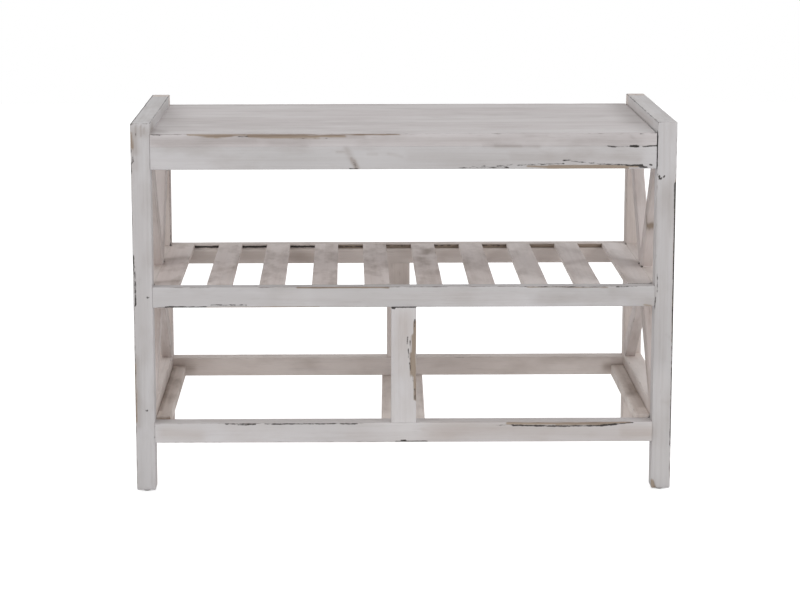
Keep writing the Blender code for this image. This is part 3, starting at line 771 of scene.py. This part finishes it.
# Kind, x and z of both ends, radius and strength
FRONT_STROKES = [
    # Seat: the paint is gone along the left half of the top edge
    ("bare", -276, 472, -205, 470.9, 2.0, 0.85), ("bare", -264, 471.2, -236, 469, 2.3, 0.85),
    ("bare", -242, 469, -220, 470.8, 2.3, 0.85), ("bare", -200, 470.4, -110, 469, 2.9, 1.0),
    ("bare", -110, 469.6, -76, 470.2, 2.4, 0.86), ("bare", -78, 470.6, -52, 471.2, 2.0, 0.76),
    ("bare", -54, 471.2, -5, 472, 1.8, 0.64), ("smear_and_shade", -110, 467.6, -50, 468, 2.2, 0.7),
    ("dark", -213, 468.6, -198, 470, 1.5, 0.64), ("dark", -152, 466.4, -96, 466.6, 1.2, 0.62),
    ("dark", -323, 472, -312, 471.8, 1.4, 0.62), ("rub", -322, 472, -270, 472, 6, 0.6),
    ("rub", -270, 472, 60, 472, 6, 0.4), ("rub", 60, 472, 270, 472, 6, 0.3),
    ("smear_and_shade", -165, 462, -125, 459, 4, 0.35), ("smear_and_shade", -190, 464, 300, 463, 6, 0.34),
    ("smear_and_shade", -320, 463, -190, 464, 6, 0.5), ("smear_and_shade", 120, 471, 305, 471, 3, 0.25),
    ("smear_and_shade", 154, 470.4, 184, 469.8, 2.4, 0.42), ("smear_and_shade", 102, 457.6, 172, 455.4, 3.4, 0.4),
    ("smear_and_shade", 116, 457, 150, 456, 2.4, 0.75), ("smear_and_shade", 290, 468, 296, 464, 3, 0.5),
    ("dark", 301, 472, 308, 471.8, 1.2, 0.64),
    # The open joint between the seat and the apron at the right end
    ("dark", 261, 455.8, 271, 454.8, 1.5, 0.74), ("dark", 271, 455.0, 290, 455.4, 1.2, 0.56),
    ("dark", 290, 455.6, 300, 455.6, 1.8, 1.0), ("dark", 306, 455.0, 312, 455.2, 1.5, 0.74),
    ("dark", 313, 455.8, 324, 456.2, 1.4, 0.8),
    # Apron: a knot, and a lower edge worn to the wood on the right
    ("smear_and_shade", -74, 453, -67, 440, 4.2, 0.5), ("smear_and_shade", -67.5, 441, -66, 436, 2.6, 1.1),
    ("smear_and_shade", -64.5, 437, -60.5, 428, 3.0, 1.5), ("dark", -70, 427.2, -59, 427.2, 1.2, 0.7),
    ("smear_and_shade", -86, 449, -75, 449.2, 1.8, 0.42), ("smear_and_shade", -46, 446.2, -35, 445.8, 2.2, 0.3),
    ("smear_and_shade", -20, 446.4, -2, 442.8, 2.2, 0.28), ("dark", -63.8, 435.5, -60.8, 428.5, 2.8, 0.5),
    ("smear_and_shade", 10, 443, 130, 438, 9, 0.22), ("bare", 158, 430.5, 186, 429, 2.0, 0.85),
    ("bare", 186, 429, 286, 428.4, 3.0, 1.0), ("bare", 250, 430, 300, 429.5, 2.0, 0.8),
    ("dark", 68, 428.4, 112, 428.2, 1.4, 0.56), ("dark", 100, 428.8, 134, 428.6, 1.7, 0.64),
    ("dark", 86, 429.8, 104, 430.8, 1.2, 0.56), ("dark", 118, 430.2, 139, 432.2, 1.2, 0.56),
    ("dark", 146, 431.6, 205, 433.4, 1.7, 0.58), ("dark", 204, 437.6, 214, 437.8, 1.6, 0.68),
    ("dark", 214, 436.2, 250, 433.4, 1.6, 0.56), ("dark", 250, 432.8, 286, 431.6, 1.7, 0.66),
    ("dark", 286, 431, 306, 431, 1.8, 0.82), ("dark", 302, 429.2, 312, 428.3, 1.7, 0.8),
    ("dark", 315.5, 431.5, 318, 431, 1.7, 0.9), ("smear_and_shade", 140, 443, 300, 440, 8, 0.36),
    # Left leg: brush marks at its head, brown outer edge, a few dents
    ("bare", -349.5, 474, -347.5, 455, 3.0, 0.75), ("dark", -349, 452, -346.5, 436, 1.8, 0.66),
    ("dark", -349.5, 436, -349, 420, 1.3, 0.62), ("smear_and_shade", -348, 455, -345, 430, 6, 0.35),
    ("smear_and_shade", -343, 482, -342.6, 471, 1.3, 0.9), ("smear_and_shade", -339.6, 480, -339.8, 468, 1.2, 0.8),
    ("smear_and_shade", -336.4, 483, -336.2, 470, 1.3, 0.9), ("smear_and_shade", -332.8, 481, -333, 472, 1.4, 0.95),
    ("dark", -333, 483, -332.6, 479, 1.2, 0.6), ("dark", -342.8, 474, -342.6, 471, 1.2, 0.56),
    ("smear_and_shade", -345, 477, -330, 474, 7, 0.5), ("smear_and_shade", -347, 472, -345, 450, 6, 0.8),
    ("dark", -331, 260.5, -331, 260, 2.2, 0.95), ("dark", -335, 110.8, -335, 110.2, 2.2, 0.8),
    ("bare", -349.5, 172, -349, 95, 2.4, 0.72), ("smear_and_shade", -348, 180, -347, 90, 5, 0.5),
    ("dark", -348.4, 316, -347.2, 250, 1.4, 0.95), ("dark", -348.4, 250, -348.4, 120, 1.3, 0.7),
    ("rub", -350, 330, -350, 10, 6, 0.7), ("dark", -325.6, 96, -325.6, 88, 1.2, 0.6),
    ("dark", -328, 79, -325.6, 74, 1.4, 0.64), ("rub", -350, 486, -350, 330, 6, 0.5),
    ("smear_and_shade", -337, 405, -337, 180, 10, 0.24),
    # Right leg: two dings, a crack along the inner edge, a dark outer edge, a chipped foot
    ("dark", 326.4, 418.4, 329.2, 413.2, 1.6, 1.2), ("dark", 329.2, 413.2, 334.4, 416.4, 1.3, 1.0),
    ("dark", 326.3, 403, 327, 402.8, 1.7, 0.75), ("dark", 326.4, 314, 327.6, 288, 0.9, 0.6),
    ("dark", 327.6, 288, 328.4, 268, 1.0, 0.68), ("dark", 328.4, 268, 326, 256, 1.0, 0.7),
    ("dark", 326, 256, 325, 242, 1.1, 0.75), ("dark", 349.2, 408, 349.4, 376, 2.0, 1.5),
    ("dark", 349.6, 376, 349.6, 225, 1.7, 1.2), ("dark", 349.8, 225, 349.8, 60, 1.5, 0.95),
    ("bare", 349.4, 412, 349.4, 200, 2.0, 0.9), ("rub", 350, 470, 350, 20, 6, 0.8),
    ("bare", 326, 12, 330, 2, 3.6, 0.95), ("coat", 337, 150, 337, 25, 13, 0.16),
    ("smear_and_shade", 337, 400, 337, 180, 10, 0.18), ("smear_and_shade", 340, 210, 347, 204, 2.5, 0.3),
    ("smear_and_shade", 338, 120, 345, 118, 2.5, 0.3),
    # Shelf rail
    ("dark", -308, 247.4, -256, 247.2, 1.8, 0.84), ("dark", -250, 250.2, -204, 249.8, 1.7, 0.6),
    ("coat", -150, 260, 150, 260, 16, 0.09), ("smear_and_shade", -322, 258, -170, 260, 9, 0.16),
    ("smear_and_shade", 180, 258, 322, 260, 9, 0.16), ("bare", -257, 247, -110, 246.8, 1.4, 0.8),
    ("rub", -325, 246.6, 0, 246.6, 5, 0.5), ("bare", -138, 272.8, -20, 272.8, 2.0, 0.85),
    ("dark", -30, 273.2, 60, 273.2, 1.0, 0.6), ("rub", -325, 273.4, 325, 273.4, 5, 0.45),
    ("dark", 150, 273, 216, 272.5, 1.2, 0.6), ("dark", 216, 272.6, 262, 272, 1.1, 0.62),
    ("bare", 160, 272.6, 264, 271.6, 1.4, 0.62), ("dark", 275, 272.4, 302, 273, 1.2, 0.68),
    ("smear_and_shade", -110, 258, 140, 261, 11, 0.14), ("smear_and_shade", 270, 265, 320, 255, 8, 0.3),
    ("bare", 312, 249, 320, 247, 2.5, 0.6),
    # Low front rail: boxes have rubbed its top edge
    ("dark", -233, 91.8, -194, 91.2, 1.7, 0.74), ("dark", -216, 90.4, -203, 90.2, 1.6, 0.68),
    ("dark", -182, 91.4, -60, 91.4, 1.3, 0.74), ("rub", -240, 92.4, -40, 92.4, 5, 0.6),
    ("bare", 136, 91.2, 200, 90.6, 2.3, 0.95), ("bare", 200, 90.2, 258, 90.6, 2.7, 1.0),
    ("bare", 258, 90.8, 296, 92.2, 2.0, 0.9), ("dark", 122, 88.8, 143, 89.4, 1.2, 0.66),
    ("dark", 143, 88.4, 200, 87.4, 1.5, 0.85), ("dark", 200, 87.2, 262, 87.8, 1.4, 0.85),
    ("dark", 258, 87.8, 278, 89.6, 1.7, 1.0), ("dark", 278, 89.6, 300, 91.8, 1.1, 0.75),
    ("dark", -68, 66.6, -24, 66.6, 1.3, 0.68), ("dark", -10, 66.8, 30, 67, 1.8, 0.95),
    ("dark", -3, 68.6, 2, 69, 1.6, 0.8), ("rub", -320, 66.6, 320, 66.6, 5, 0.35),
    ("smear_and_shade", 40, 80, 322, 79, 16, 0.42), ("smear_and_shade", 288, 80, 322, 78, 12, 0.66),
    ("smear_and_shade", -312, 80, -268, 76, 9, 0.4), ("smear_and_shade", 62, 75, 130, 72, 7, 0.35),
    ("smear_and_shade", 26, 83, 34, 82, 4, 0.4),
    # Front post: its right edge is chipped to the wood, with dark scratches beside it
    ("bare", 15, 227, 14.4, 206, 2.6, 1.0), ("bare", 13.2, 208, 12.6, 182, 4.2, 1.0),
    ("bare", 12, 184, 13, 158, 4.8, 1.05), ("bare", 14.4, 160, 15.2, 124, 2.4, 0.95),
    ("dark", 14.2, 230, 13.8, 221, 1.3, 0.74), ("dark", 4.8, 207, 4.6, 197, 1.2, 0.7),
    ("dark", 8.0, 203, 8.2, 192, 1.2, 0.62), ("dark", 5.8, 191, 6.2, 180, 1.2, 0.66),
    ("dark", 8.0, 186, 8.2, 176, 1.2, 0.6), ("dark", 7.4, 173, 8.8, 162, 1.2, 0.64),
    ("dark", 10.4, 160, 11.8, 148, 1.2, 0.62), ("dark", 14.4, 138, 14.8, 124, 1.3, 0.74),
    ("dark", -15.4, 245.6, -12, 244.8, 1.5, 0.95), ("dark", -16, 246.3, 16, 246.4, 1.2, 0.9),
    ("smear_and_shade", 0, 235, 2, 165, 14, 0.3),
]
print("strokes on the front:", len(FRONT_STROKES))

# %% Strokes on the other faces
FULL = INNER / MM
INSIDE = REACH / MM
SIDE_TOP = leg_high.z / MM
SHELF = SHELF_HIGH / MM
RABBET = WALL / MM
MIDDLE_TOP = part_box("centre_runner")[1].z / MM
LOW_TOP = BRACE_SPANS["lower"][0] / MM
# Kind, both ends, radius and strength
OTHER_STROKES = [
    # Seat top: painted shadow of the raised ends near both ends, two long streaks, a dark line along the
    # rear edge
    ("smear_and_shade", (-318, 60, SEAT_TOP), (-290, -110, SEAT_TOP), 26, 0.32),
    ("smear_and_shade", (-300, -120, SEAT_TOP), (-240, -95, SEAT_TOP), 20, 0.22),
    ("smear_and_shade", (-320, -130, SEAT_TOP), (-312, -150, SEAT_TOP), 11, 0.5),
    ("smear_and_shade", (318, 160, SEAT_TOP), (312, -60, SEAT_TOP), 20, 0.5),
    ("smear_and_shade", (-290, -40, SEAT_TOP), (-160, -110, SEAT_TOP), 38, 0.22),
    ("smear_and_shade", (60, 60, SEAT_TOP), (260, 20, SEAT_TOP), 24, 0.16),
    ("smear_and_shade", (-250, 112, SEAT_TOP), (250, 118, SEAT_TOP), 7, 0.12),
    ("smear_and_shade", (-220, -52, SEAT_TOP), (230, -62, SEAT_TOP), 9, 0.16),
    ("rub", (-FULL, -FACE, SEAT_TOP), (FULL, -FACE, SEAT_TOP), 5, 0.8),
    ("smear_and_shade", (-FULL, -FACE, SEAT_TOP), (FULL, -FACE, SEAT_TOP), 5, 1.3),
    ("smear_and_shade", (-FULL, -FACE - 5, SEAT_TOP), (-20, -FACE - 5, SEAT_TOP), 8, 0.95),
    ("smear_and_shade", (-20, -FACE - 5, SEAT_TOP), (60, -FACE - 5, SEAT_TOP), 7, 0.5),
    # Raised ends of the sides: dark outlines, browner on the inside
    *[("rub", (x, FACE, SIDE_TOP), (x, -FACE, SIDE_TOP), 6, strength)
      for x, strength in ((-CAP, 0.9), (CAP, 0.5), (-FULL, 0.7), (FULL, 0.7))],
    ("dark", (0.9 - CAP, FACE, SIDE_TOP), (0.9 - CAP, -FACE, SIDE_TOP), 1.9, 0.88),
    ("smear_and_shade", (-337, 162, SIDE_TOP), (-337, 164, SIDE_TOP), 12, 0.4),
    ("smear_and_shade", (337, 162, SIDE_TOP), (337, 164, SIDE_TOP), 12, 0.4),
    ("dark", (-FULL, FACE, SIDE_TOP), (-FULL, -FACE, SIDE_TOP), 1.5, 0.62),
    ("dark", (FULL, -20, SIDE_TOP), (FULL, -FACE, SIDE_TOP), 1.5, 0.74),
    ("dark", (FULL, FACE, SIDE_TOP), (FULL, -20, SIDE_TOP), 1.5, 0.62),
    ("coat", (FULL, INSIDE, 478), (FULL, -INSIDE, 478), 10, 0.25),
    ("smear_and_shade", (-FULL, -170, 476), (-FULL, -120, 474), 6, 0.8),
    ("smear_and_shade", (FULL, 20, 478), (FULL, -120, 478), 6, 0.5),
    # The seat's right end stands open; the gap and its top edge are darkened as painted shade
    ("dark", (FULL - 0.5, FACE + 4, 472), (FULL - 0.5, FACE + 4, 428), 3.2, 2.0),
    ("dark", (FULL - 0.5, FACE, 472.5), (FULL - 0.5, -90, 472.5), 0.9, 1.1),
    ("smear_and_shade", (FULL - 0.5, -90, 472.5), (FULL - 0.5, 120, 472.5), 2.0, 0.8),
    # Rabbets: no paint reached the rear one's wall, which is darkened further as painted shade in the
    # recess, and the front one's is hidden
    ("dark", (-FULL, RABBET, SHELF - 3.9), (-100, RABBET, SHELF - 3.9), 1.7, 1.2),
    ("dark", (-100, RABBET, SHELF - 3.9), (-35, RABBET, SHELF - 3.9), 1.7, 0.7),
    ("bare", (-100, RABBET, SHELF - 4.2), (FULL, RABBET, SHELF - 4.0), 2.5, 1.5),
    ("dark", (-30, RABBET, SHELF - 3.0), (165, RABBET, SHELF - 3.0), 1.4, 0.68),
    ("dark", (-30, RABBET, SHELF - 5.8), (235, RABBET, SHELF - 5.8), 1.2, 0.45),
    ("dark", (-FULL, -RABBET, SHELF - 4), (FULL, -RABBET, SHELF - 4), 2.6, 1.5),
    # Joints that the paint has filled, and painted light on the right-hand slats
    *[("fill", (x, -INSIDE, SHELF), (x, INSIDE, SHELF), 4, 1.0) for x in (-FULL, FULL)],
    *[("coat", (x, -INSIDE, SHELF), (x, INSIDE, SHELF), 18, strength)
      for x, strength in ((102.8, 0.25), (171.4, 0.45), (239.9, 0.4), (308.5, 0.6))],
    # Shelf and the frame behind it: corners that the brush missed, stained places, painted shade and shadow
    ("dark", (290, -157.5, SHELF), (323, -157, SHELF), 1.4, 1.2),
    ("dark", (322, -154, SHELF), (324, -152, SHELF), 2.4, 0.95),
    ("dark", (-FULL, INSIDE, SHELF), (-FULL, 146, SHELF), 2.4, 1.1),
    # Painted shade: the shaded inner side of the left front leg and the gap beside it
    ("dark", (-FULL, -151, SHELF), (-FULL, -151, 291), 1.6, 1.4),
    ("dark", (FULL, INSIDE, SHELF), (FULL, 147, SHELF), 2.2, 0.9),
    ("dark", (FULL, -8, SHELF), (FULL, -12, SHELF), 2.2, 0.9),
    ("dark", (FULL, -33, SHELF), (FULL, -38, SHELF), 2.2, 0.9),
    ("dark", (-FULL, 22, SHELF), (-FULL, 16, SHELF), 2.0, 0.8),
    ("dark", (-FULL, INSIDE, 278), (-FULL, INSIDE, 425), 1.0, 0.72),
    ("dark", (-328, INSIDE, 405), (-329, INSIDE, 380), 1.4, 0.8),
    ("smear_and_shade", (-337, INSIDE, 430), (-337, INSIDE, 290), 9, 0.18),
    ("smear_and_shade", (-320, INSIDE, 258), (-120, INSIDE, 257), 9, 0.35),
    ("bare", (-10, INSIDE, 242), (6, INSIDE, 226), 6, 0.6),
    ("smear_and_shade", (-12, INSIDE, 240), (10, INSIDE, 200), 8, 0.15),
    # Painted shadow of the left X braces across the end slat
    ("smear_and_shade", (-322, 34, SHELF), (-296, 48, SHELF), 12, 0.5),
    ("smear_and_shade", (-320, -138, SHELF), (-298, -128, SHELF), 8, 0.4),
    ("smear_and_shade", (-256, -60, SHELF), (-226, -30, SHELF), 10, 0.35),
    ("smear_and_shade", (228, -8, SHELF), (255, 18, SHELF), 11, 0.5),
    # Painted shadow of the right X braces across the end slat
    ("smear_and_shade", (296, 30, SHELF), (322, 4, SHELF), 11, 0.55),
    ("smear_and_shade", (44, 110, SHELF), (34, 70, SHELF), 7, 0.55),
    ("smear_and_shade", (30, 40, SHELF), (36, -10, SHELF), 9, 0.4),
    # Braces: bare patches, and tan lower ends on the right
    ("bare", (329, -76, 347), (329, -83, 331), 7.5, 0.95),
    ("smear_and_shade", (329, -72, 365), (329, -84, 325), 13, 0.5),
    ("smear_and_shade", (333, -40, 222), (333, -140, 120), 14, 0.55),
    ("smear_and_shade", (-333, 60, 215), (-333, 130, 130), 14, 0.6),
    ("smear_and_shade", (-333, -30, 232), (-333, -110, 160), 12, 0.45),
    ("bare", (333, -50, 225), (333, -120, 150), 9, 0.42),
    ("smear_and_shade", (-333, -20, 300), (-333, -60, 345), 12, 0.35),
    # Runners and low rails: stained by the boxes, with painted shade along the side rails and under the
    # rear rail, and lighter in the middle and on the right
    ("smear_and_shade", (-316, -140, 96), (-316, 140, 96), 12, 0.34),
    # Painted shade in the corner between the left runner and its side rail
    ("smear_and_shade", (-322, -120, 96), (-322, 140, 96), 4, 0.8),
    # Painted shade, with some stain, along the right runner beside its side rail
    ("smear_and_shade", (316, 145, 96), (320, -105, 96), 8, 0.45),
    ("smear_and_shade", (313, 118, 96), (314, 104, 96), 6, 0.3),
    # Painted shadow under the rear rail at both ends
    ("smear_and_shade", (-322, INSIDE, 96), (-296, INSIDE, 93), 5, 0.55),
    ("smear_and_shade", (300, INSIDE, 93), (322, INSIDE, 94), 6, 0.7),
    ("dark", (-305, -INSIDE, 93.4), (-303, -INSIDE, 93.4), 1.8, 0.9),
    ("smear_and_shade", (-FULL, -INSIDE, 93), (-300, -INSIDE, 93), 3, 0.8),
    ("coat", (337, 100, LOW_TOP), (337, -120, LOW_TOP), 14, 0.4),
    ("coat", (0, -INSIDE, MIDDLE_TOP), (0, INSIDE, MIDDLE_TOP), 40, 0.3),
    ("dark", (FULL, -INSIDE, 93), (322, -INSIDE, 90), 2.0, 0.9),
]
print("strokes elsewhere:", len(OTHER_STROKES))

# %% Put the strokes on the boards
SUNK = 0.3 * MM
FADED = 2.5
strokes = [(kind, (x0, FACE, z0), (x1, FACE, z1), radius, strength)
           for kind, x0, z0, x1, z1, radius, strength in FRONT_STROKES] + OTHER_STROKES


def stroke_value(points, start, end, radius, strength):
    """How strong a stroke is at each point: full on its line, and fading with distance."""
    start, end = np.array(start), np.array(end)
    line = end - start
    share = np.clip((points - start) @ line / max(line @ line, 1e-9), 0.0, 1.0)
    away = np.linalg.norm(points - start - share[:, None] * line, axis=1)
    return strength * np.exp(-(away / radius) ** 2)


marked = 0
for piece in boards.values():
    mesh = piece.data
    points, normals = np.empty(len(mesh.vertices) * 3), np.empty(len(mesh.vertices) * 3)
    mesh.vertices.foreach_get("co", points)
    mesh.vertices.foreach_get("normal", normals)
    points, normals = points.reshape(-1, 3) / MM, normals.reshape(-1, 3)
    value = {kind: np.zeros(len(points)) for kind in KINDS}
    for kind, start, end, radius, strength in strokes:
        room = FADED * radius
        if (np.minimum(start, end) - room < points.max(axis=0)).all() and (
                np.maximum(start, end) + room > points.min(axis=0)).all():
            value[kind] = np.maximum(value[kind], stroke_value(points, start, end, radius, strength))
            marked += 1
    for kind in KINDS:
        mesh.attributes.new(kind, "FLOAT", "POINT").data.foreach_set("value", value[kind])
    # Places marked up to 0.4 keep their height, and from 0.9 they are sunk fully
    sink = np.clip(2 * np.maximum(value["bare"], value["dark"]) - 0.8, 0.0, 1.0) * SUNK
    mesh.vertices.foreach_set("co", (points * MM - normals * sink[:, None]).ravel())
    mesh.update()
print("marks on boards:", marked)

# %% [markdown]
# ## Glides, dowels and screws
#
# Under each leg is a small dark plastic glide.  The dowels under the seat are plain beech, and
# the runners' screws are zinc plated.  Their solids already have the right shape, so they stay
# and only get a finish: a fine mottle of two close colours, and a gloss that is not quite even.

# %% Small hardware finishes
UNEVEN = 0.08


def mottled(name, colour, other, speck_mm, roughness, metallic):
    """A plain material with a fine mottle of two colours and an uneven gloss."""
    material, tree, shader = new_material(name)
    where = add(tree, "TexCoord", out="Object")
    speck = add(tree, "TexNoise", {"Vector": where, "Scale": 1 / (speck_mm * MM), "Detail": 3.0})
    tint = add(tree, "Mix", {0: speck, 6: linear(colour), 7: linear(other)}, out=2, data_type="RGBA")
    gloss = add(tree, "MapRange", {"Value": speck, "To Min": roughness - UNEVEN,
                                   "To Max": roughness + UNEVEN})
    tree.links.new(tint, shader.inputs["Base Color"])
    tree.links.new(gloss, shader.inputs["Roughness"])
    shader.inputs["Metallic"].default_value = metallic
    return material


# Moulded plastic is dark and half matt, beech is pale and dry, zinc plate is a bright grey metal
zinc = mottled("zinc_plate", "#B9B9B4", "#CFCFCB", 0.6, 0.32, 1.0)
HARDWARE = {
    "glide": mottled("moulded_dark_plastic", "#1E1D1D", "#2A2928", 0.8, 0.5, 0.0),
    "seat_dowel": mottled("plain_beech", "#C9A27C", "#B58C66", 1.5, 0.7, 0.0),
    "runner_screw": zinc,
    "centre_screw": zinc,
}
finished = 0
for node, piece in frame["nodes"].items():
    for kind, material in HARDWARE.items():
        if node.startswith(kind):
            piece.data.materials.clear()
            piece.data.materials.append(material)
            finished += 1
print("hardware finished:", finished, "pieces")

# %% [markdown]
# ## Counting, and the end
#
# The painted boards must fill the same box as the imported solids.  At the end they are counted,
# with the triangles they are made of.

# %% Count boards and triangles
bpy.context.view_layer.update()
triangles = sum(sum(len(face.vertices) - 2 for face in board.data.polygons) for board in boards.values())
print("boards:", len(boards), "triangles:", triangles)
